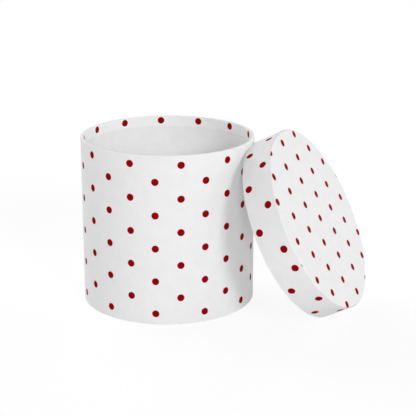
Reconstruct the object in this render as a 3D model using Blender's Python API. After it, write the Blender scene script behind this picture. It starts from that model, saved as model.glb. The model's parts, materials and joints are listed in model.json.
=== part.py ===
"""A round hatbox of rigid board covered in paper, with its lid taken off and leaning on the wall.

Lengths are metres and angles are radians. The origin is the middle of the base on the table, +Z is up,
and +X points from the box towards the leaning lid. Each paper is a separate sheet: the outer papers are
turned over the board's edges, and where a margin turns a round corner it is snipped into tabs.
"""

import math

import bmesh
import bpy
from mathutils import Vector

# The box, measured over its papers.
WALL_RADIUS = 0.107
WALL_HEIGHT = 0.2085
# The lid's depth over its papers, and the play between its band and the wall when it is on.
LID_DEPTH = 0.0383
LID_PLAY = 0.00375
# Boards and papers.
WALL_BOARD = 0.0020
BASE_BOARD = 0.0020
LID_BOARD = 0.0018
PAPER = 0.00035
# The least space between two glued pieces, which keeps their solids apart.
GLUE_GAP = 0.0003
# The outer fold of a paper round a board's edge, and the flat ground off a board's corner.
FOLD_RADIUS = 0.0010
BOARD_CHAMFER = 0.0004
# Margins that are turned over: inside the rim, under the foot, down the lid's band, inside the lid's edge.
RIM_HEM = 0.0165
FOOT_TAB = 0.0120
LINING_FOOT = 0.0090
LID_MARGIN = 0.0100
LID_HEM = 0.0120
# How much of each tabbed margin stays whole between its fold and the bottom of a snip.
SNIP_ROOT = 0.0025
# The paper disc under the base stops short of the foot's fold.
COVER_INSET = 0.0040
# The band's wrap starts this far below the lid's top, under the rounded edge of the top paper.
WRAP_DROP = 0.0013
# Each wrap overlaps itself in a lap of this many facets, glued down.
LAP_FACETS = 1
LAP_BITE_SHARE = 0.5
LAP_END_SHORT = 0.0006
# Directions of the two laps, counted round from +X: the wall's at the back, the lid's on its own axis.
WALL_LAP_TURN = math.radians(110)
LID_LAP_TURN = math.radians(275)
# How the lid leans: where its rim meets the wall, below the box's rim, the least that it leans, and how
# far round its rim that point lies from the top.
LEAN_DROP = 0.0048
LEAN_LEAST = math.radians(5)
LEAN_ROUND = math.radians(-5.3)

# Facets round every turned piece, so that stacked pieces share their corners, and steps in a fold.
FACETS = 72
FOLD_STEPS = 2
SNIP_EVERY = 3
FULL_TURN = 2 * math.pi
QUARTER = math.pi / 2
WELD = 0.000001
SHARP = math.radians(35)

PRINTED_WHITE = (0.86, 0.86, 0.87, 1)
LINING_WHITE = (0.83, 0.83, 0.84, 1)
BOARD_GREY = (0.42, 0.39, 0.35, 1)


def start_empty():
    """Clears the scene's objects."""
    for thing in list(bpy.data.objects):
        bpy.data.objects.remove(thing)


def finish(name, colour, roughness):
    """A plain material for one piece."""
    material = bpy.data.materials.new(name)
    material.use_nodes = True
    shader = material.node_tree.nodes["Principled BSDF"]
    shader.inputs["Base Color"].default_value = colour
    shader.inputs["Roughness"].default_value = roughness
    shader.inputs["Metallic"].default_value = 0
    return material


def printed(name):
    return finish(name, PRINTED_WHITE, 0.45)


def plain(name):
    return finish(name, LINING_WHITE, 0.7)


def board(name):
    return finish(name, BOARD_GREY, 0.95)


def place(name, shape, material, parent=None):
    """Makes one named object from a bmesh, with its round faces smooth and its folds sharp."""
    bmesh.ops.recalc_face_normals(shape, faces=shape.faces)
    mesh = bpy.data.meshes.new(name)
    shape.to_mesh(mesh)
    shape.free()
    mesh.materials.append(material)
    mesh.shade_smooth()
    mesh.set_sharp_from_angle(angle=SHARP)
    thing = bpy.data.objects.new(name, mesh)
    bpy.context.collection.objects.link(thing)
    thing.parent = parent
    return thing


def arc(centre, radius, start, stop):
    """Points on a fold's arc in the (radius, height) plane, from one angle to another."""
    turns = [start + (stop - start) * step / FOLD_STEPS for step in range(FOLD_STEPS + 1)]
    return [(centre[0] + radius * math.cos(a), centre[1] + radius * math.sin(a)) for a in turns]


def sheet(path_of_depth):
    """The closed outline of a paper: its face, then its back one paper's thickness further in."""
    return path_of_depth(0) + list(reversed(path_of_depth(PAPER)))


def plain_ring(inner, outer, low, high):
    """The outline of a ring with square corners."""
    return [(inner, low), (outer, low), (outer, high), (inner, high)]


def board_ring(inner, outer, low, high):
    """The outline of a board tube with its corners taken off."""
    c = BOARD_CHAMFER
    return [
        (inner, low + c), (inner + c, low), (outer - c, low), (outer, low + c),
        (outer, high - c), (outer - c, high), (inner + c, high), (inner, high - c),
    ]


def turned(outline, closed=True, turn=FULL_TURN, facets=FACETS):
    """Spins an outline of (radius, height) points about the upright axis."""
    shape = bmesh.new()
    points = [shape.verts.new((r, 0, z)) for r, z in outline]
    pairs = list(zip(points, points[1:]))
    if closed:
        pairs.append((points[-1], points[0]))
    edges = [shape.edges.new(pair) for pair in pairs]
    whole = turn == FULL_TURN
    swept = points + edges
    if not whole:
        swept.append(shape.faces.new(points))
    bmesh.ops.spin(
        shape, geom=swept, cent=(0, 0, 0), axis=(0, 0, 1), angle=turn, steps=facets,
        use_merge=whole, use_duplicate=False,
    )
    bmesh.ops.remove_doubles(shape, verts=shape.verts, dist=WELD)
    return shape


def disc(radius, low, high):
    """A round flat piece between two heights."""
    return turned([(0, low), (radius, low), (radius, high), (0, high)], closed=False)


def facet_number(point):
    return round(math.atan2(point.y, point.x) / (FULL_TURN / FACETS))


def snip_round(shape, tip, root):
    """Cuts the flat margin that ends at radius tip into tabs, by notches as deep as radius root."""
    for vert in shape.verts:
        reach = math.hypot(vert.co.x, vert.co.y)
        if abs(reach - tip) < WELD and facet_number(vert.co) % SNIP_EVERY == 0:
            vert.co.x *= root / tip
            vert.co.y *= root / tip


def snip_down(shape, tip, root):
    """Cuts the upright margin that ends at height tip into tabs, by notches as deep as height root."""
    for vert in shape.verts:
        if abs(vert.co.z - tip) < WELD and facet_number(vert.co) % SNIP_EVERY == 0:
            vert.co.z = root


def lap(name, radius, low, high, turn, onto):
    """Joins the glued overlap of a wrap's two ends to it, one paper proud of its face."""
    outline = plain_ring(radius - PAPER * LAP_BITE_SHARE, radius + PAPER, low, high)
    width = FULL_TURN / FACETS * LAP_FACETS
    shape = turned(outline, turn=width, facets=LAP_FACETS)
    flap = place(name, shape, onto.data.materials[0], onto.parent)
    flap.rotation_euler.z = turn - width / 2
    flap.hide_render = True
    flap.display_type = "WIRE"
    join = onto.modifiers.new("lap", "BOOLEAN")
    join.operation = "UNION"
    join.solver = "EXACT"
    join.object = flap


# Radii through the box's wall, from the wrap inwards.
wall_board_outer = WALL_RADIUS - PAPER - GLUE_GAP
wall_board_inner = wall_board_outer - WALL_BOARD
lining_outer = wall_board_inner - GLUE_GAP
lining_inner = lining_outer - PAPER
hem_outer = lining_inner - GLUE_GAP
hem_inner = hem_outer - PAPER

# Heights through the base, from the table up.
tab_low = PAPER + GLUE_GAP
board_low = tab_low + PAPER + GLUE_GAP
board_high = board_low + BASE_BOARD
foot_low = board_high + GLUE_GAP
floor_low = foot_low + PAPER + GLUE_GAP
floor_high = floor_low + PAPER
rim_under = WALL_HEIGHT - PAPER - GLUE_GAP

# Radii through the lid's band, from its lining outwards.
lid_lining_inner = WALL_RADIUS + LID_PLAY
lid_lining_outer = lid_lining_inner + PAPER
lid_board_inner = lid_lining_outer + GLUE_GAP
lid_board_outer = lid_board_inner + LID_BOARD
margin_outer = lid_board_outer + GLUE_GAP + PAPER
lid_radius = margin_outer + GLUE_GAP + PAPER

# Heights through the lid, down from the face of its top.
lid_top_high = -(PAPER + GLUE_GAP)
lid_top_low = lid_top_high - LID_BOARD
lid_inside_high = lid_top_low - GLUE_GAP
lid_inside_low = lid_inside_high - PAPER
lid_edge_under = -LID_DEPTH + PAPER + GLUE_GAP


def wall_wrap_path(depth):
    """From a tab's tip under the foot, up the wall, over the rim and down inside it."""
    fold = FOLD_RADIUS - depth
    foot = (WALL_RADIUS - FOLD_RADIUS, tab_low + FOLD_RADIUS)
    rim = (WALL_RADIUS - FOLD_RADIUS, WALL_HEIGHT - FOLD_RADIUS)
    inside = (hem_inner + FOLD_RADIUS, WALL_HEIGHT - FOLD_RADIUS)
    return [
        (WALL_RADIUS - FOOT_TAB, tab_low + depth),
        *arc(foot, fold, -QUARTER, 0),
        *arc(rim, fold, 0, QUARTER),
        *arc(inside, fold, QUARTER, 2 * QUARTER),
        (hem_inner + depth, WALL_HEIGHT - RIM_HEM),
    ]


def wall_lining_path(depth):
    """Down the inside of the wall and in over the base board, seen from inside the box."""
    fold = FOLD_RADIUS + depth
    foot = (lining_inner - FOLD_RADIUS, foot_low + PAPER + FOLD_RADIUS)
    return [
        (lining_inner + depth, rim_under),
        *arc(foot, fold, 0, -QUARTER),
        (lining_inner - LINING_FOOT, foot_low + PAPER - depth),
    ]


def lid_cover_path(depth):
    """From the middle of the lid's top, over its edge and down the band."""
    fold = FOLD_RADIUS - depth
    edge = (margin_outer - FOLD_RADIUS, -FOLD_RADIUS)
    return [
        (0, -depth),
        *arc(edge, fold, QUARTER, 0),
        (margin_outer - depth, -LID_MARGIN),
    ]


def lid_wrap_path(depth):
    """From just under the lid's top, down the band, round the open edge and up inside it."""
    fold = FOLD_RADIUS - depth
    edge = (lid_radius - FOLD_RADIUS, -LID_DEPTH + FOLD_RADIUS)
    inside = (lid_lining_inner + FOLD_RADIUS, -LID_DEPTH + FOLD_RADIUS)
    return [
        (lid_radius - depth, -WRAP_DROP),
        *arc(edge, fold, 0, -QUARTER),
        *arc(inside, fold, -QUARTER, -2 * QUARTER),
        (lid_lining_inner + depth, -LID_DEPTH + LID_HEM),
    ]


def make_box():
    """The board tube and base, the wrap, the linings and the disc under the base."""
    tube = board_ring(wall_board_inner, wall_board_outer, board_low, rim_under)
    place("wall_board", turned(tube), board("wall_board"))
    place("base_board", disc(lining_outer, board_low, board_high), board("base_board"))
    place("base_cover", disc(WALL_RADIUS - COVER_INSET, 0, PAPER), plain("base_cover"))
    place("base_lining", disc(hem_outer, floor_low, floor_high), plain("base_lining"))

    shape = turned(sheet(wall_wrap_path))
    snip_round(shape, WALL_RADIUS - FOOT_TAB, WALL_RADIUS - FOLD_RADIUS - SNIP_ROOT)
    wrap = place("wall_wrap", shape, printed("wall_wrap"))
    low = tab_low + FOLD_RADIUS + LAP_END_SHORT
    high = WALL_HEIGHT - FOLD_RADIUS - LAP_END_SHORT
    lap("wall_wrap_lap", WALL_RADIUS, low, high, WALL_LAP_TURN, wrap)

    shape = turned(sheet(wall_lining_path))
    snip_round(shape, lining_inner - LINING_FOOT, lining_inner - FOLD_RADIUS - SNIP_ROOT)
    place("wall_lining", shape, plain("wall_lining"))


def lean():
    """How far the lid's open edge leans from upright, so that it meets the wall below the rim."""
    share = (WALL_HEIGHT - LEAN_DROP) / (2 * lid_radius)
    return math.acos(min(math.cos(LEAN_LEAST), share))


def lid_place():
    """The middle of the lid's top, with its rounded edge on the table and against the wall."""
    tilt = lean()
    ring = lid_radius - FOLD_RADIUS
    reach = WALL_RADIUS + GLUE_GAP + FOLD_RADIUS
    round_wall = math.atan2(-math.sin(LEAN_ROUND) * math.sin(tilt), math.cos(LEAN_ROUND))
    x = reach * math.cos(round_wall) + ring * math.sin(tilt) * math.cos(LEAN_ROUND)
    y = reach * math.sin(round_wall) - ring * math.sin(LEAN_ROUND)
    lowest = min(z * math.sin(tilt) - r * math.cos(tilt) for r, z in lid_wrap_path(0))
    return Vector((x + (LID_DEPTH - FOLD_RADIUS) * math.cos(tilt), y, -lowest))


def make_lid():
    """The lid's boards, papers and linings, on an empty that stands them in the leaning place."""
    frame = bpy.data.objects.new("lid_frame", None)
    bpy.context.collection.objects.link(frame)
    frame.location = lid_place()
    frame.rotation_euler = (0, QUARTER - lean(), 0)
    print("lid leans", round(math.degrees(lean()), 2), "degrees, its top's middle at", frame.location)

    band = board_ring(lid_board_inner, lid_board_outer, lid_edge_under, lid_inside_high)
    place("lid_band_board", turned(band), board("lid_band_board"), frame)
    top = disc(lid_board_outer, lid_top_low, lid_top_high)
    place("lid_top_board", top, board("lid_top_board"), frame)

    shape = turned(sheet(lid_cover_path), closed=False)
    snip_down(shape, -LID_MARGIN, -FOLD_RADIUS - SNIP_ROOT)
    place("lid_top_cover", shape, printed("lid_top_cover"), frame)

    wrap = place("lid_band_wrap", turned(sheet(lid_wrap_path)), printed("lid_band_wrap"), frame)
    low = -LID_DEPTH + FOLD_RADIUS + LAP_END_SHORT
    high = -WRAP_DROP - LAP_END_SHORT
    lap("lid_band_wrap_lap", lid_radius, low, high, LID_LAP_TURN, wrap)

    inside = disc(lid_lining_outer, lid_inside_low, lid_inside_high)
    place("lid_top_lining", inside, plain("lid_top_lining"), frame)
    low = -LID_DEPTH + LID_HEM + GLUE_GAP
    high = lid_inside_low - GLUE_GAP
    ring = plain_ring(lid_lining_inner, lid_lining_outer, low, high)
    place("lid_band_lining", turned(ring), plain("lid_band_lining"), frame)


start_empty()
make_box()
make_lid()
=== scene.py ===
# %% [markdown]
# # A dotted hatbox with its lid off
#
# The object is a round box of rigid board. White paper with red dots covers the outside, plain
# paper lines the inside, and the lid leans on the wall. The boards come from the solid model as
# they are. Every paper is made again here, finer, because paper is what the eye sees.
#
# All lengths are metres, in the solid model's own place: the box's axis is the Z axis and the
# table is at zero.

# %% Open the frame
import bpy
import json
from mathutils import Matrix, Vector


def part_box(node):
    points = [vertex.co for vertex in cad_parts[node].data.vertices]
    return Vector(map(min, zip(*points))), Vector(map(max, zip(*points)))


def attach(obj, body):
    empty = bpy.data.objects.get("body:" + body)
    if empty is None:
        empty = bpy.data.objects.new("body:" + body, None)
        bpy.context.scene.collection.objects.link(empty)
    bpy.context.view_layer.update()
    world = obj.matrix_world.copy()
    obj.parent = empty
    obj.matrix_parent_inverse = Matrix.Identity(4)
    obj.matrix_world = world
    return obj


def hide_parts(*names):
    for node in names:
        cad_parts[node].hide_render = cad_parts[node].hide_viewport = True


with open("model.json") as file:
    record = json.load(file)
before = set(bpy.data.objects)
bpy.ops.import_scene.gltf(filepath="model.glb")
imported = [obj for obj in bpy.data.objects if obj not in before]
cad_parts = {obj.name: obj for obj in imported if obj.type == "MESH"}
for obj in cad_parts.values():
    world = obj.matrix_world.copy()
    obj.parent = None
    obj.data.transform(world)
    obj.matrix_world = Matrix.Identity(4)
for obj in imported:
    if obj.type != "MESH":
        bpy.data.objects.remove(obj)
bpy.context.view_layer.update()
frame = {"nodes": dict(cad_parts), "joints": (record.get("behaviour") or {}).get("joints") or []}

import json
import math

import bmesh
import bpy
from mathutils import Matrix, Vector

# %% [markdown]
# ## Sizes that the papers share with the boards
#
# A paper has to sit exactly on its board, so its radius isn't guessed: the boards are measured in
# the frame. Only what can't be measured there is written down, such as the paper's thickness, the
# space that stands in for the glue, the radius of a fold and the widths of the margins that are
# turned over.

# %% Papers, folds and margins
PAPER = 0.00035
GLUE_GAP = 0.0003
FOLD = 0.0010
WALL_BOARD = 0.0020
LID_BOARD = 0.0018
QUARTER = math.pi / 2
FULL_TURN = 2 * math.pi

# What is turned over: the wall's hem inside the rim, its tabs under the foot, the lining's tabs on
# the base, the lid top's margin on the band and the band's hem inside.
RIM_HEM = 0.0130
FOOT_TAB = 0.0120
LINING_FOOT = 0.0090
LID_MARGIN = 0.0100
LID_HEM = 0.0120

# Small allowances: the uncut root of a tab, how far the band's wrap ends below the lid's top, and
# how far the paper under the base stays inside the wall.
SNIP_ROOT = 0.0025
WRAP_DROP = 0.0007
COVER_INSET = 0.0040
print(f"paper {1000 * PAPER} mm, folded to a radius of {1000 * FOLD} mm")

# %% The box, measured on its boards
board_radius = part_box("wall_board")[1].x
wall_radius = board_radius + GLUE_GAP + PAPER
wall_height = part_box("wall_board")[1].z + GLUE_GAP + PAPER
lining_radius = board_radius - WALL_BOARD - GLUE_GAP - PAPER
hem_radius = lining_radius - GLUE_GAP - PAPER
tab_height = PAPER + GLUE_GAP
lining_foot_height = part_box("base_board")[1].z + GLUE_GAP + PAPER
floor_low, floor_high = (corner.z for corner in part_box("base_lining"))
print(f"box: {2000 * wall_radius:.1f} mm across and {1000 * wall_height:.1f} mm high")

# %% The lid, measured on its boards
# The lid is built lying flat, with the middle of its top at zero. This matrix then stands it in
# its place.
lid_axis = Vector(frame["joints"][0]["axis"])
lid_side = Vector((0, 1, 0))
lid_down = lid_side.cross(lid_axis)
top_low, top_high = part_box("lid_top_board")
lid_middle = (top_low + top_high) / 2 + lid_axis * (PAPER + GLUE_GAP + LID_BOARD / 2)
lid_place = Matrix((lid_down, lid_side, lid_axis)).transposed().to_4x4()
lid_place.translation = lid_middle

lid_board_radius = (top_high.y - top_low.y) / 2
margin_radius = lid_board_radius + GLUE_GAP + PAPER
lid_radius = margin_radius + GLUE_GAP + PAPER
lid_lining_radius = lid_board_radius - LID_BOARD - GLUE_GAP - PAPER
lid_inside_top = -2 * (PAPER + GLUE_GAP) - LID_BOARD
band_points = frame["nodes"]["lid_band_wrap"].data.vertices
lid_depth = -min((lid_place.inverted() @ point.co).z for point in band_points)
print(f"lid: {2000 * lid_radius:.1f} mm across and {1000 * lid_depth:.1f} mm deep")

# %% [markdown]
# ## Shader maths written as Python
#
# The dots are drawn by arithmetic on the paper's own flat coordinates. Wired by hand, that would
# be dozens of Math nodes that nobody could read. Instead a small class wraps a socket and gives it
# Python's operators, so that `1 - mask` adds the node by itself.

# %% A number that lives in a shader
class Amount:
    """A shader's number. Plus, minus, times and the rest each add a Math node."""

    def __init__(self, shade, socket):
        self.shade = shade
        self.socket = socket

    def math(self, operation, *others):
        values = dict(enumerate((self, *others)))
        return self.shade.add("ShaderNodeMath", {"operation": operation}, values)

    def __add__(self, other):
        return self.math("ADD", other)

    def __sub__(self, other):
        return self.math("SUBTRACT", other)

    def __mul__(self, other):
        return self.math("MULTIPLY", other)

    def __truediv__(self, other):
        return self.math("DIVIDE", other)

    def __rsub__(self, other):
        return self.math("MULTIPLY_ADD", -1.0, other)

    __radd__ = __add__
    __rmul__ = __mul__

    def whole(self):
        """The nearest whole number."""
        return self.math("ROUND")

    def odd(self):
        """1 where a whole number is odd, 0 where it is even."""
        return self.math("PINGPONG", 1.0)

    def size(self):
        """The number without its sign."""
        return self.math("ABSOLUTE")

    def larger(self, other):
        """The larger one of two numbers."""
        return self.math("MAXIMUM", other)

    def step(self, start, stop):
        """A soft step from 0 at start to 1 at stop. Stop may be the smaller of the two."""
        rising = start < stop
        return self.shade.add("ShaderNodeMapRange", {"interpolation_type": "SMOOTHSTEP"}, {
            "Value": self, "From Min": min(start, stop), "From Max": max(start, stop),
            "To Min": 0.0 if rising else 1.0, "To Max": 1.0 if rising else 0.0,
        })

    def ramp(self, start, stop):
        """A straight slope from 0 at start to 1 at stop, level before and after."""
        return self.shade.add("ShaderNodeMapRange", {}, {
            "Value": self, "From Min": start, "From Max": stop, "To Min": 0.0, "To Max": 1.0,
        })


# %% The nodes that hold those numbers
class Shade:
    """The nodes of a material or of the world, and the main shader that these come with. Its
    add method makes every kind of node."""

    def __init__(self, owner, shader="Principled BSDF"):
        owner.use_nodes = True
        self.owner = owner
        self.tree = owner.node_tree
        self.shader = self.tree.nodes[shader]

    def add(self, kind, settings, values, output=0):
        """Adds a node: its settings first, then each input's value or link."""
        node = self.tree.nodes.new(kind)
        for name, value in settings.items():
            setattr(node, name, value)
        for place, value in values.items():
            self.give(node.inputs[place], value)
        return Amount(self, node.outputs[output])

    def give(self, socket, value):
        """Links a shader's number to a socket, or writes a plain value on it."""
        if isinstance(value, Amount):
            self.tree.links.new(value.socket, socket)
        else:
            socket.default_value = value

    def place(self):
        """Where a point is, in metres."""
        return self.add("ShaderNodeTexCoord", {}, {}, "Object")

    def parts(self, vector):
        """The three numbers of a vector."""
        first = self.add("ShaderNodeSeparateXYZ", {}, {"Vector": vector})
        return [Amount(self, socket) for socket in first.socket.node.outputs]

    def noise(self, size, detail=2.0):
        """Cloudy numbers about a half. The size is that of one cloud, in metres."""
        values = {"Vector": self.place(), "Scale": 1 / size, "Detail": detail}
        return self.add("ShaderNodeTexNoise", {}, values)

    def mix(self, share, first, second):
        """The first colour where share is 0, the second where it is 1."""
        colours = {0: share, 6: first, 7: second}
        return self.add("ShaderNodeMix", {"data_type": "RGBA"}, colours, 2)

    def bump(self, height, depth, under=None):
        """Relief from a height between 0 and 1, as deep as depth, on top of another relief."""
        values = {"Height": height, "Distance": depth}
        if under:
            values["Normal"] = under
        return self.add("ShaderNodeBump", {}, values)

    def finish(self, **values):
        """Gives the main shader its values. An underscore in a name stands for a space."""
        for name, value in values.items():
            self.give(self.shader.inputs[name.replace("_", " ")], value)
        print("finish", self.owner.name, "has", len(self.tree.nodes), "nodes")
        return self.owner


def new_finish(name):
    """A new material, ready for its nodes."""
    return Shade(bpy.data.materials.new(name))


# %% [markdown]
# ## How a paper is made
#
# On the bench a paper is cut flat, snipped along its margins, wrapped round the board and folded
# over the edges. The script does the same. `create_grid` gives the flat sheet, and its UV map is
# drawn while it is still flat, so a dot keeps its true size and shape wherever the paper is bent
# afterwards. A spin would have made the same shape, but it closes on itself, and real wraps
# overlap in a lap.
#
# The folds are described like a walk: straight on, a quarter bend to the left, straight on. Each
# station on that walk knows its radius, its height, how much paper has been used so far and which
# way the paper's face looks.

# %% The walk along a paper's cross-section
BEND_STEPS = 6
LEFT_FOLD = (1, FOLD)
RIGHT_FOLD = (-1, FOLD)


class Station:
    """One line of points across the sheet, as a place on the walk."""

    def __init__(self, radius, height, used, heading):
        self.radius = radius
        self.height = height
        self.used = used
        self.face = (math.sin(heading), -math.cos(heading))


def walk(radius, height, heading, used, *legs):
    """The stations of a walk. A leg is a length to go straight on, or a quarter bend as
    (side, radius), where side is 1 to the left and -1 to the right."""
    stations = [Station(radius, height, used, heading)]
    for leg in legs:
        bend = isinstance(leg, tuple)
        steps = BEND_STEPS if bend else 1
        turn = leg[0] * QUARTER / steps if bend else 0
        stride = 2 * leg[1] * math.sin(abs(turn) / 2) if bend else leg
        length = leg[1] * QUARTER / steps if bend else leg
        for _ in range(steps):
            radius += stride * math.cos(heading + turn / 2)
            height += stride * math.sin(heading + turn / 2)
            heading += turn
            used += length
            stations.append(Station(radius, height, used, heading))
    return stations


print("a quarter fold uses", round(1000 * FOLD * QUARTER, 2), "mm of paper")

# %% Cutting the flat sheet
# Until a sheet is wrapped, a point's X is its share of the length and its Y a station's number.
COLUMNS = 360
HALF_ROW = 0.5
NEAR_CUT = 0.001
NOTCH = 0.15


def cut_sheet(stations):
    """A flat grid, as long as 1 and with one row of points for each station."""
    sheet = bmesh.new()
    rows = len(stations) - 1
    bmesh.ops.create_grid(sheet, x_segments=COLUMNS, y_segments=rows, size=0.5)
    bmesh.ops.translate(sheet, verts=sheet.verts, vec=(0.5, 0.5, 0))
    bmesh.ops.scale(sheet, verts=sheet.verts, vec=(1, rows, 1))
    return sheet


def snip(sheet, root, tip, tabs):
    """Cuts the margin between two stations into tabs. A notch takes its share of each tip."""
    def on_cut(vert):
        return abs(vert.co.x * tabs - round(vert.co.x * tabs)) < NEAR_CUT

    low, high = sorted((root, tip))
    cuts = [
        edge for edge in sheet.edges
        if all(on_cut(v) and low - HALF_ROW < v.co.y < high + HALF_ROW for v in edge.verts)
    ]
    bmesh.ops.split_edges(sheet, edges=cuts)
    for face in sheet.faces:
        middle = face.calc_center_median()
        if low < middle.y < high:
            for vert in face.verts:
                if on_cut(vert) and abs(vert.co.y - tip) < HALF_ROW:
                    side = 1 if middle.x > vert.co.x else -1
                    vert.co.x += side * NOTCH / 2 / tabs


print("a sheet has", COLUMNS, "columns of faces")

# %% Drawing the flat map
FLAT_MAP = "flat"


def draw_flat_map(sheet, stations, start, stop, radius):
    """Keeps each point's place on the flat sheet, in metres, as its UV."""
    flat = sheet.loops.layers.uv.new(FLAT_MAP)
    for face in sheet.faces:
        for corner in face.loops:
            along = start + corner.vert.co.x * (stop - start)
            used = stations[round(corner.vert.co.y)].used
            corner[flat].uv = (along * radius, used)


def draw_round_map(sheet, stations):
    """The same for a round sheet whose last station is its middle."""
    flat = sheet.loops.layers.uv.new(FLAT_MAP)
    for face in sheet.faces:
        for corner in face.loops:
            along = corner.vert.co.x * FULL_TURN
            reach = stations[-1].used - stations[round(corner.vert.co.y)].used
            corner[flat].uv = (reach * math.cos(along), reach * math.sin(along))


# %% Wrapping the sheet round the board
SAME_POINT = 0.000001


def wrap(sheet, stations, start, stop, lift=None):
    """Bends the sheet round the axis and over its folds. Lift raises the end that overlaps."""
    for vert in sheet.verts:
        station = stations[round(vert.co.y)]
        along = start + vert.co.x * (stop - start)
        raised = lift(along, station) if lift else 0
        radius = station.radius + raised * station.face[0]
        height = station.height + raised * station.face[1]
        vert.co = (radius * math.cos(along), radius * math.sin(along), height)


def thicken(sheet):
    """Gives the sheet its thickness on the glued side, and closes it."""
    bmesh.ops.remove_doubles(sheet, verts=sheet.verts, dist=SAME_POINT)
    bmesh.ops.recalc_face_normals(sheet, faces=sheet.faces)
    bmesh.ops.solidify(sheet, geom=sheet.faces[:], thickness=PAPER)
    bmesh.ops.recalc_face_normals(sheet, faces=sheet.faces)


# %% Putting a finished piece on the object
CUT_EDGE_ANGLE = math.radians(50)


def set_down(name, shape, body, node, material, place=None):
    """Makes the piece that stands for a CAD node, moved to its place in its own mesh."""
    mesh = bpy.data.meshes.new(name)
    if place:
        bmesh.ops.transform(shape, verts=shape.verts, matrix=place)
    shape.to_mesh(mesh)
    shape.free()
    mesh.shade_smooth()
    mesh.set_sharp_from_angle(angle=CUT_EDGE_ANGLE)
    mesh.materials.append(material)
    piece = bpy.data.objects.new(name, mesh)
    bpy.context.scene.collection.objects.link(piece)
    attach(piece, body)
    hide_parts(node)
    print(name, "has", len(mesh.polygons), "faces")


# %% [markdown]
# ## The finish of white paper
#
# Smooth white paper isn't one flat white. Held to the light it is cloudy, its surface has a fine
# felt of fibres, glue leaves it very slightly uneven over the board, and its folds are painted
# whiter, partly for burnishing with a bone folder and partly as a painted highlight along the
# folded edges. All of these are faint, because the paper is new.
#
# One colour and one roughness would do from far away, but near by they look like plastic. So each
# of these marks is a layer of noise in its real size, from half a millimetre for the felt to
# 35 mm for the ripples.

# %% The colour of white paper
PAPER_WHITE = (0.92, 0.92, 0.925, 1)
PAPER_CLOUD = (0.90, 0.90, 0.905, 1)
# The folds are painted whiter: partly burnishing, partly a painted highlight on the folded edges.
BURNISHED_AND_HIGHLIGHT = (0.97, 0.97, 0.97, 1)
BURNISHED_AND_HIGHLIGHT_SHARE = 0.7
CLOUD_SIZE = 0.012
CLOUD_STEP = (0.35, 0.7)
PATCH_SIZE = 0.004
PATCH_LEAST = 0.6
PATCH_RANGE = 0.8


def paper_colour(shade, white, cloud, folded=None):
    """White paper, clouded by its fibres, and painted whiter on its folds: burnishing and a painted
    highlight.
    """
    clouds = shade.noise(CLOUD_SIZE, detail=3.0)
    colour = shade.mix(clouds.step(*CLOUD_STEP), white, cloud)
    if folded is None:
        return colour
    # Painted highlight and burnish along the folds, patchy.
    patchy = folded * (PATCH_LEAST + shade.noise(PATCH_SIZE, detail=3.0) * PATCH_RANGE)
    return shade.mix(patchy * BURNISHED_AND_HIGHLIGHT_SHARE, colour, BURNISHED_AND_HIGHLIGHT)


print("paper white", PAPER_WHITE[:3], "clouded with", PAPER_CLOUD[:3])

# %% The relief of paper
RIPPLE_SIZE = 0.035
FELT_SIZE = 0.0005


def paper_relief(shade, ripple, felt):
    """Slow ripples from the glue under the paper, and the felt of its fibres, by their depths."""
    ripples = shade.bump(shade.noise(RIPPLE_SIZE, detail=1.0), ripple)
    return shade.bump(shade.noise(FELT_SIZE), felt, ripples)


print("ripples", 1000 * RIPPLE_SIZE, "mm and felt", 1000 * FELT_SIZE, "mm across")

# %% White paper printed with red ink
INK_RED = (0.330, 0.0015, 0.0035, 1)
INK_DEEP = (0.290, 0.0010, 0.0025, 1)
BLOTCH_SIZE = 0.0012
BLOTCH_STEP = (0.3, 0.75)
GRAIN_SIZE = 0.0008
PRINTED_ROUGHNESS = 0.44
PRINTED_GRAIN = 0.10
INK_GLOSS = 0.08
PRINTED_SHINE = 0.004
PRINTED_RIPPLE = 0.0003
PRINTED_FELT = 0.000012


def printed_paper(shade, ink, folded):
    """Smooth paper with a printed pattern. Ink is 1 where a dot is printed."""
    blotches = shade.noise(BLOTCH_SIZE).step(*BLOTCH_STEP)
    red = shade.mix(blotches, INK_RED, INK_DEEP)
    white = paper_colour(shade, PAPER_WHITE, PAPER_CLOUD, folded)
    grain = shade.noise(GRAIN_SIZE)
    return shade.finish(
        Base_Color=shade.mix(ink, white, red),
        Roughness=PRINTED_ROUGHNESS + grain * PRINTED_GRAIN - ink * INK_GLOSS,
        Normal=paper_relief(shade, PRINTED_RIPPLE, PRINTED_FELT),
        Specular_IOR_Level=PRINTED_SHINE,
    )


print("ink red", INK_RED[:3], "blotched with", INK_DEEP[:3])

# %% [markdown]
# ## The dots
#
# The paper is printed with a half-drop pattern: dots in upright columns, every second column half
# a step lower. The dots could be cut out as thin discs, but those would stand off the paper and
# could not run over a fold. Arithmetic prints them instead, and stays sharp however near one looks.
#
# To find out whether a point is inside a dot, the shader rounds its place to the nearest column,
# moves every second column by half a row, rounds again, and measures how far the nearest dot's
# middle is.

# %% One dot
DOT = 0.0044
DOT_EDGE = 0.00008


def distance(across, along):
    """How far a point is from the middle that both numbers are counted from."""
    return (across * across + along * along).math("SQRT")


def dot(far):
    """1 inside the dot, from the distance to its middle."""
    return far.step(DOT + DOT_EDGE, DOT - DOT_EDGE)


print("a dot is", 2000 * DOT, "mm across")

# %% One half-drop pattern
RAGGED_SIZE = 0.0009
RAGGED_DEPTH = 0.00016


def half_drop(shade, across, along, column, row, slant=0.0):
    """1 inside the dots of a half-drop pattern. Slant moves each next column on by that much."""
    number = across.whole()
    beside = (across - number) * column
    rows = (along - number * slant) / row - number.odd() * 0.5
    above = (rows - rows.whole()) * row
    ragged = (shade.noise(RAGGED_SIZE) - 0.5) * RAGGED_DEPTH
    return dot(distance(beside, above) + ragged)


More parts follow.
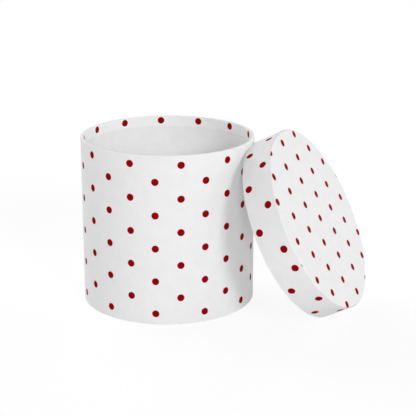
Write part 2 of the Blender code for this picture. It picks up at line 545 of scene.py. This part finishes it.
def flat_place(shade):
    """Where a point is on the flat sheet: along it and across it, in metres."""
    return shade.parts(shade.add("ShaderNodeUVMap", {"uv_map": FLAT_MAP}, {}))[:2]


print("a dot's edge is ragged by up to", 500 * RAGGED_DEPTH, "mm")

# %% The creases of the folds
# This mask is where the folds are painted whiter: burnishing and a painted highlight.
CREASE = 0.0014
CREASE_CORE = 0.3


def crease(across, *places):
    """1 on the folds at those places on the flat sheet, falling to 0 beside them."""
    marks = [(across - place).size().step(CREASE, CREASE * CREASE_CORE) for place in places]
    total = marks[0]
    for mark in marks[1:]:
        total = total.larger(mark)
    return total


print("a crease shows", 2000 * CREASE, "mm wide")

# %% [markdown]
# ## The wall's wrap
#
# One long sheet makes the outside of the box. It starts under the foot with a margin cut into
# tabs, goes up the wall and over the rim, and ends as a hem inside, which carries a row of dots of
# its own. At the back its end lies over its beginning. The beginning is trimmed short of the foot,
# as a maker does to keep the foot flat.
#
# A tube with a ring for the hem and another for the tabs would look much the same from outside,
# but each fold would show a seam. One sheet on one walk has none, and its creases fall where the
# folds are.

# %% The wall's walk
WALL_LAP_FROM = math.radians(107.5)
WALL_LAP_TO = math.radians(112.5)
LAP_GLUE = 0.00006
LAP_RISE = PAPER + LAP_GLUE
RISE_LENGTH = math.radians(3)
TABS = 60

foot_used = FOOT_TAB - FOLD + FOLD * QUARTER
rim_width = wall_radius - hem_radius - 2 * FOLD
wall_walk = walk(
    wall_radius - FOOT_TAB, tab_height, 0, tab_height + FOLD - foot_used,
    FOOT_TAB - FOLD - SNIP_ROOT, SNIP_ROOT, LEFT_FOLD,
    wall_height - tab_height - 2 * FOLD, LEFT_FOLD,
    rim_width, LEFT_FOLD, RIM_HEM - FOLD,
)
wall_fold = wall_height - FOLD + FOLD * QUARTER / 2
hem_start = wall_height - FOLD + 2 * FOLD * QUARTER + rim_width
wall_width = wall_walk[-1].used - wall_walk[0].used
print("the wall's wrap is", round(1000 * wall_width), "mm wide when flat")

# %% The wall's dots
# Columns are counted round the wall and rows down it. The sheet was laid a little askew and
# stretched at the rim, so the columns lean and fan out. Lean and fan are in columns to a metre.
# The hem's row is spaced on its own, and the hem inside is painted whiter than the lining below
# it: painted light, for the brighter band just under the rim.
WALL_COLUMN = math.radians(16.233)
WALL_COLUMN_START = math.radians(-59.086)
WALL_ROW = 0.040795
WALL_ROW_START = 0.197317
WALL_SLANT = -0.000223
WALL_LEAN = 0.272
WALL_FAN = 0.0926
HEM_COLUMN = FULL_TURN / 13
HEM_COLUMN_START = math.radians(173.254)
HEM_ROW_HEIGHT = 0.203008
HEM_LINE = 0.0001
# How much whiter the hem is painted, as painted light near the rim.
HEM_PAINTED_LIGHT = 0.9


def wall_dots(shade, along, across):
    """1 inside the dots of the wall, which run on over the rim."""
    columns = (along / wall_radius - WALL_COLUMN_START) / WALL_COLUMN
    leaning = columns - (columns * WALL_FAN + WALL_LEAN) * (across - wall_height / 2)
    width = WALL_COLUMN * wall_radius
    return half_drop(shade, leaning, across - WALL_ROW_START, width, WALL_ROW, WALL_SLANT)


def hem_dots(along, across):
    """1 inside the one row of dots on the hem."""
    columns = (along / wall_radius - HEM_COLUMN_START) / HEM_COLUMN
    row = hem_start + wall_height - FOLD - HEM_ROW_HEIGHT
    beside = (columns - columns.whole()) * HEM_COLUMN * hem_radius
    return dot(distance(beside, across - row))


def wall_finish():
    """The dotted paper of the wall and its hem."""
    shade = new_finish("wall_dotted_paper")
    along, across = flat_place(shade)
    inside = across.step(wall_fold, wall_fold + HEM_LINE)
    ink = wall_dots(shade, along, across) * (1 - inside) + hem_dots(along, across) * inside
    foot_fold = tab_height + FOLD * (1 - QUARTER / 2)
    # The wall's folds are painted whiter: burnishing and a painted highlight.
    folded = crease(across, wall_fold, hem_start - FOLD * QUARTER / 2, foot_fold)
    # The hem is painted whiter than the lining: painted light near the rim.
    return printed_paper(shade, ink, folded.larger(inside * HEM_PAINTED_LIGHT))


# %% The wall's wrap itself
def wall_lift(along, station):
    """Raises the end over the beginning, but not at the foot, where the beginning is trimmed."""
    rise = (along - (WALL_LAP_FROM - RISE_LENGTH)) / RISE_LENGTH
    up_the_wall = (station.used - tab_height - FOLD) / FOLD
    return LAP_RISE * min(1, max(0, rise)) * min(1, max(0, up_the_wall))


def trim_beginning(sheet, lap_share):
    """Takes the foot's tabs and fold off where the other end will lie over them."""
    foot_rows = 2 + BEND_STEPS
    trimmed = [
        face for face in sheet.faces
        if face.calc_center_median().x < lap_share and face.calc_center_median().y < foot_rows
    ]
    bmesh.ops.delete(sheet, geom=trimmed, context="FACES")


def make_wall_wrap():
    start = WALL_LAP_FROM - FULL_TURN
    sheet = cut_sheet(wall_walk)
    snip(sheet, 1, 0, TABS)
    draw_flat_map(sheet, wall_walk, start, WALL_LAP_TO, wall_radius)
    trim_beginning(sheet, (WALL_LAP_TO - WALL_LAP_FROM) / (WALL_LAP_TO - start))
    wrap(sheet, wall_walk, start, WALL_LAP_TO, wall_lift)
    thicken(sheet)
    set_down("wall_wrap_paper", sheet, "box", "wall_wrap", wall_finish())


make_wall_wrap()

# %% [markdown]
# ## The lid's top
#
# A round paper is pressed over the lid's top, and its snipped margin is turned down the band. A
# plain disc would do for the top alone, but the margin has to fold. So the sheet is cut from the
# same grid as the wrap, with its last row gathered into the middle, and its flat map is round. The
# dots lie slantwise here, as the paper happened to be laid.

# %% The lid top's walk and dots
TOP_COLUMN = 0.035512
TOP_ROW = 0.033391
TOP_SLANT = 0.013112
TOP_FIRST = (-0.106864, 0.043321)
TOP_TURN = math.radians(-39.267)
TOP_CREASE = 0.3

half_way_in = 0.5 * (margin_radius - FOLD)
top_walk = walk(
    margin_radius, -LID_MARGIN, QUARTER, 0,
    LID_MARGIN - FOLD - SNIP_ROOT, SNIP_ROOT, LEFT_FOLD, half_way_in, half_way_in,
)
top_fold = margin_radius - FOLD + FOLD * QUARTER / 2
print("the lid top's paper is", round(2000 * top_walk[-1].used), "mm across when flat")


def lid_top_finish():
    """The dotted paper of the lid's top, its pattern turned on the round sheet."""
    shade = new_finish("lid_top_dotted_paper")
    down, side = flat_place(shade)
    cosine, sine = math.cos(TOP_TURN), math.sin(TOP_TURN)
    columns = (side * cosine - down * sine - TOP_FIRST[0]) / TOP_COLUMN
    along = -1.0 * (side * sine + down * cosine) - TOP_FIRST[1]
    ink = half_drop(shade, columns, along, TOP_COLUMN, TOP_ROW, TOP_SLANT)
    # The top's fold is painted a little whiter: burnishing and a painted highlight.
    folded = crease(distance(down, side), top_fold) * TOP_CREASE
    return printed_paper(shade, ink, folded)


# %% The lid's top itself
def make_lid_top():
    sheet = cut_sheet(top_walk)
    snip(sheet, 1, 0, TABS)
    draw_round_map(sheet, top_walk)
    wrap(sheet, top_walk, 0, FULL_TURN)
    thicken(sheet)
    finish = lid_top_finish()
    set_down("lid_top_paper", sheet, "lid", "lid_top_cover", finish, lid_place)


make_lid_top()

# %% [markdown]
# ## The lid's band
#
# A long strip covers the band. It begins as a hem inside, turns round the open edge and ends just
# under the rounded edge of the top. Its two ends meet in a lap on the side that faces the camera,
# and there the dots step: the pattern starts afresh at one end of the strip. A closed ring could
# not show that step, so this is an open strip too. On the far side the columns are spread a
# little, so that both ends keep their places.

# %% The band's walk and dots
BAND_LAP_FROM = math.radians(272.5)
BAND_LAP_TO = math.radians(277.5)
BAND_COLUMN = math.radians(13.575)
BAND_COLUMN_START = math.radians(283.251)
BAND_ROW = 0.040803
BAND_ROW_START = -0.010324
BAND_OFFSET = 0.001203
BAND_SPREAD = 0.431
SPREAD_FROM = math.radians(395)
SPREAD_TO = math.radians(525)

band_rim = lid_radius - lid_lining_radius - 2 * FOLD
band_used = LID_HEM - FOLD + band_rim + 2 * FOLD * QUARTER
band_walk = walk(
    lid_lining_radius, LID_HEM - lid_depth, -QUARTER, FOLD - lid_depth - band_used,
    LID_HEM - FOLD, LEFT_FOLD, band_rim, LEFT_FOLD, lid_depth - FOLD - WRAP_DROP,
)
band_width = band_walk[-1].used - band_walk[0].used
print("the band's strip is", round(1000 * band_width, 1), "mm wide when flat")


def band_finish():
    """The dotted paper of the band. Its pattern is spread on the lid's far side."""
    shade = new_finish("lid_band_dotted_paper")
    along, across = flat_place(shade)
    round_lid = along / lid_radius
    far_side = round_lid.ramp(SPREAD_FROM, SPREAD_TO)
    columns = (round_lid - BAND_COLUMN_START) / BAND_COLUMN + far_side * BAND_SPREAD
    rows = across - BAND_ROW_START - (1 - far_side) * BAND_OFFSET
    ink = half_drop(shade, columns, rows, BAND_COLUMN * lid_radius, BAND_ROW)
    edge = FOLD - lid_depth - FOLD * QUARTER / 2
    # The band's folds are painted whiter: burnishing and a painted highlight.
    folded = crease(across, edge, edge - band_rim - FOLD * QUARTER)
    return printed_paper(shade, ink, folded)


# %% The band itself
def band_lift(along, _station):
    """Raises the end of the strip over its beginning."""
    rise = (along - (BAND_LAP_FROM + FULL_TURN - RISE_LENGTH)) / RISE_LENGTH
    return LAP_RISE * min(1, max(0, rise))


def make_lid_band():
    stop = BAND_LAP_TO + FULL_TURN
    sheet = cut_sheet(band_walk)
    draw_flat_map(sheet, band_walk, BAND_LAP_FROM, stop, lid_radius)
    wrap(sheet, band_walk, BAND_LAP_FROM, stop, band_lift)
    thicken(sheet)
    finish = band_finish()
    set_down("lid_band_paper", sheet, "lid", "lid_band_wrap", finish, lid_place)


make_lid_band()

# %% [markdown]
# ## The plain papers
#
# The linings are uncoated, so they are duller and more fibrous than the printed paper. The wall's
# lining is one sheet with a snipped foot, and its ends meet edge to edge near the front, where the
# wall hides them. The discs on the floor, under the base and inside the lid are round cuts: a
# circle, filled and thickened.

# %% Plain paper
LINING_WHITE = (0.900, 0.900, 0.905, 1)
LINING_CLOUD = (0.875, 0.875, 0.880, 1)
LINING_ROUGHNESS = 0.62
LINING_GRAIN = 0.16
LINING_SHINE = 0.3
LINING_RIPPLE = 0.0002
LINING_FELT = 0.00002


def plain_paper(name):
    """Uncoated paper, a little greyer and rougher than the printed sheets."""
    shade = new_finish(name)
    return shade.finish(
        Base_Color=paper_colour(shade, LINING_WHITE, LINING_CLOUD),
        Roughness=LINING_ROUGHNESS + shade.noise(GRAIN_SIZE) * LINING_GRAIN,
        Normal=paper_relief(shade, LINING_RIPPLE, LINING_FELT),
        Specular_IOR_Level=LINING_SHINE,
    )


lining_paper = plain_paper("lining_paper")
cover_paper = plain_paper("cover_paper")

# %% A lining whose ends meet edge to edge
BUTT_JOINT = math.radians(-50)
JOINT_GAP = math.radians(0.12)


def make_ring(name, body, node, stations, snips=None, place=None):
    """A lining ring. Snips are the two stations between which it is cut into tabs."""
    start = BUTT_JOINT + JOINT_GAP
    stop = BUTT_JOINT + FULL_TURN
    sheet = cut_sheet(stations)
    if snips:
        snip(sheet, *snips, TABS)
    draw_flat_map(sheet, stations, start, stop, stations[0].radius)
    wrap(sheet, stations, start, stop)
    thicken(sheet)
    set_down(name, sheet, body, node, lining_paper, place)


# %% The wall's lining and the band's
lining_top = wall_height - PAPER - GLUE_GAP
lining_walk = walk(
    lining_radius, lining_top, -QUARTER, 0,
    lining_top - lining_foot_height - FOLD, RIGHT_FOLD, SNIP_ROOT, LINING_FOOT - FOLD - SNIP_ROOT,
)
tip = len(lining_walk) - 1
make_ring("wall_lining_paper", "box", "wall_lining", lining_walk, (tip - 1, tip))

band_lining_top = lid_inside_top - GLUE_GAP
band_lining_width = band_lining_top + lid_depth - LID_HEM - GLUE_GAP
band_lining_walk = walk(lid_lining_radius, band_lining_top, -QUARTER, 0, band_lining_width)
make_ring(
    "lid_band_lining_paper", "lid", "lid_band_lining", band_lining_walk, place=lid_place,
)


# %% A round cut of paper
def make_disc(name, body, node, radius, low, high, material, place=None):
    """A disc of paper lying flat between two heights."""
    disc = bmesh.new()
    bmesh.ops.create_circle(disc, cap_ends=True, radius=radius, segments=COLUMNS)
    bmesh.ops.translate(disc, verts=disc.verts, vec=(0, 0, low))
    grown = bmesh.ops.extrude_face_region(disc, geom=disc.faces[:])
    lifted = [part for part in grown["geom"] if isinstance(part, bmesh.types.BMVert)]
    bmesh.ops.translate(disc, verts=lifted, vec=(0, 0, high - low))
    bmesh.ops.recalc_face_normals(disc, faces=disc.faces)
    set_down(name, disc, body, node, material, place)


# %% The three discs
make_disc(
    "floor_paper", "box", "base_lining", lining_radius - GLUE_GAP,
    floor_low, floor_high, lining_paper,
)
make_disc(
    "under_paper", "box", "base_cover", wall_radius - COVER_INSET,
    0, PAPER, cover_paper,
)
make_disc(
    "lid_inside_paper", "lid", "lid_top_lining", lid_lining_radius + PAPER,
    lid_inside_top, lid_inside_top + PAPER, lining_paper, lid_place,
)

# %% [markdown]
# ## The greyboard
#
# The boards are the solid model's own pieces. They show only where the box is taken apart, so
# finer meshes would gain nothing. They get a true finish all the same: pressed waste paper,
# grey-brown, clouded, with dark fibres and a coarse felt.

# %% Greyboard
BOARD_GREY = (0.40, 0.37, 0.33, 1)
BOARD_PALE = (0.52, 0.49, 0.44, 1)
BOARD_DARK = (0.20, 0.17, 0.14, 1)
BOARD_CLOUD_SIZE = 0.010
FLECK_SIZE = 0.0011
FLECK_STEP = (0.62, 0.70)
BOARD_FELT_SIZE = 0.0007
BOARD_FELT = 0.00006
BOARD_ROUGHNESS = 0.86
BOARD_GRAIN = 0.1
BOARD_SHINE = 0.2


def greyboard():
    shade = new_finish("greyboard")
    clouds = shade.noise(BOARD_CLOUD_SIZE, detail=3.0).step(*CLOUD_STEP)
    flecks = shade.noise(FLECK_SIZE, detail=1.0).step(*FLECK_STEP)
    return shade.finish(
        Base_Color=shade.mix(flecks, shade.mix(clouds, BOARD_GREY, BOARD_PALE), BOARD_DARK),
        Roughness=BOARD_ROUGHNESS + clouds * BOARD_GRAIN,
        Normal=shade.bump(shade.noise(BOARD_FELT_SIZE, detail=3.0), BOARD_FELT),
        Specular_IOR_Level=BOARD_SHINE,
    )


board_finish = greyboard()
for name in ("wall_board", "base_board", "lid_band_board", "lid_top_board"):
    frame["nodes"][name].data.materials.clear()
    frame["nodes"][name].data.materials.append(board_finish)
    print(name, "is greyboard")

# %% [markdown]
# ## The table and the light
#
# The photograph is a cut-out on white. A very large pale floor keeps the box's soft shadow, and it
# is brightened for the camera alone, so that no extra light falls on the paper. The light is a
# studio's: a weak tent on all sides and seven soft lamps. The key lamp throws the lid's shadow on
# the wall, and its direction was found from that shadow's edge. The strengths follow the greys of
# the plain paper, and none is so strong that the paper turns plain white, in front or behind.

# %% What the camera sees directly
def seen_directly(shade):
    """1 for what the camera sees straight on, in a reflection or through something clear."""
    rays = ("Is Camera Ray", "Is Glossy Ray", "Is Transmission Ray")
    paths = shade.add("ShaderNodeLightPath", {}, {}).socket.node.outputs
    camera, glossy, clear = (Amount(shade, paths[ray]) for ray in rays)
    return camera.larger(glossy).larger(clear)


# %% The floor
FLOOR_REACH = 30
FLOOR_DROP = 0.0001
FLOOR_PALE = (0.90, 0.90, 0.905, 1)
SHOWN_DIFFUSE = (0.22, 0.22, 0.22, 1)
SHOWN_LIGHT = 0.82
BLACK = (0, 0, 0, 1)
WHITE = (1, 1, 1, 1)


def white_floor():
    shade = new_finish("white_floor")
    seen = seen_directly(shade)
    return shade.finish(
        Base_Color=shade.mix(seen, FLOOR_PALE, SHOWN_DIFFUSE),
        Roughness=1.0,
        Specular_IOR_Level=0.0,
        Emission_Color=shade.mix(seen, BLACK, WHITE),
        Emission_Strength=SHOWN_LIGHT,
    )


def make_floor():
    flat = bmesh.new()
    bmesh.ops.create_grid(flat, x_segments=1, y_segments=1, size=FLOOR_REACH)
    bmesh.ops.translate(flat, verts=flat.verts, vec=(0, 0, -FLOOR_DROP))
    mesh = bpy.data.meshes.new("table")
    flat.to_mesh(mesh)
    flat.free()
    mesh.materials.append(white_floor())
    floor = bpy.data.objects.new("table", mesh)
    bpy.context.scene.collection.objects.link(floor)


make_floor()

# %% The tent
TENT_LIGHT = 0.20


def light_tent():
    """A world that lights the box evenly, and is white where the camera sees it."""
    world = bpy.data.worlds.new("tent")
    bpy.context.scene.world = world
    shade = Shade(world, "Background")
    strengths = {"Value": seen_directly(shade), "To Min": TENT_LIGHT, "To Max": 1.0}
    shade.finish(Color=WHITE, Strength=shade.add("ShaderNodeMapRange", {}, strengths))


light_tent()

# %% The lamps
# Each lamp: its name, the direction it stands in (degrees round from +X, degrees up), its
# strength, and its softness in degrees.
LAMPS = [
    ("front", -67, 17, 0.83, 12),
    ("key", -38, 24, 0.88, 16),
    ("right", 40, 20, 0.87, 60),
    ("back_right", 80, 15, 0.40, 12),
    ("back", 150, 25, 1.35, 60),
    ("edge", 165, 20, 0.30, 12),
    ("left", -160, 50, 0.31, 60),
]


def hang_lamp(name, turn, up, strength, softness):
    lamp = bpy.data.lights.new(name, "SUN")
    lamp.energy = strength
    lamp.angle = math.radians(softness)
    holder = bpy.data.objects.new(name, lamp)
    bpy.context.scene.collection.objects.link(holder)
    turn, up = math.radians(turn), math.radians(up)
    flat_reach = math.cos(up)
    stand = Vector((math.cos(turn) * flat_reach, math.sin(turn) * flat_reach, math.sin(up)))
    holder.rotation_euler = stand.to_track_quat("Z", "Y").to_euler()
    holder.location = stand
    print("lamp", name, "at", [round(number, 2) for number in stand])


for lamp in LAMPS:
    hang_lamp(*lamp)

# %% [markdown]
# ## The camera
#
# The camera stands where the photograph's did. Its place, its lens and its very slight tilt were
# found by matching the outlines and the dots, and are written here as plain lengths and angles.

# %% The camera
CAMERA_PLACE = Vector((0.59333, -1.38891, 0.57152))
CAMERA_AIM = Vector((0.04599, 0.01892, 0.11364))
CAMERA_LENS = 108.94
CAMERA_SENSOR = 36
CAMERA_TILT = math.radians(0.007)

camera = bpy.data.cameras.new("camera")
camera.lens = CAMERA_LENS
camera.sensor_width = CAMERA_SENSOR
camera.dof.use_dof = False
viewer = bpy.data.objects.new("camera", camera)
bpy.context.scene.collection.objects.link(viewer)
turn = (CAMERA_AIM - CAMERA_PLACE).to_track_quat("-Z", "Y").to_matrix()
viewer.matrix_world = (turn @ Matrix.Rotation(CAMERA_TILT, 3, "Z")).to_4x4()
viewer.location = CAMERA_PLACE
bpy.context.scene.camera = viewer
bpy.context.scene.view_settings.view_transform = "Standard"
print("camera", round((CAMERA_AIM - CAMERA_PLACE).length, 3), "m away")
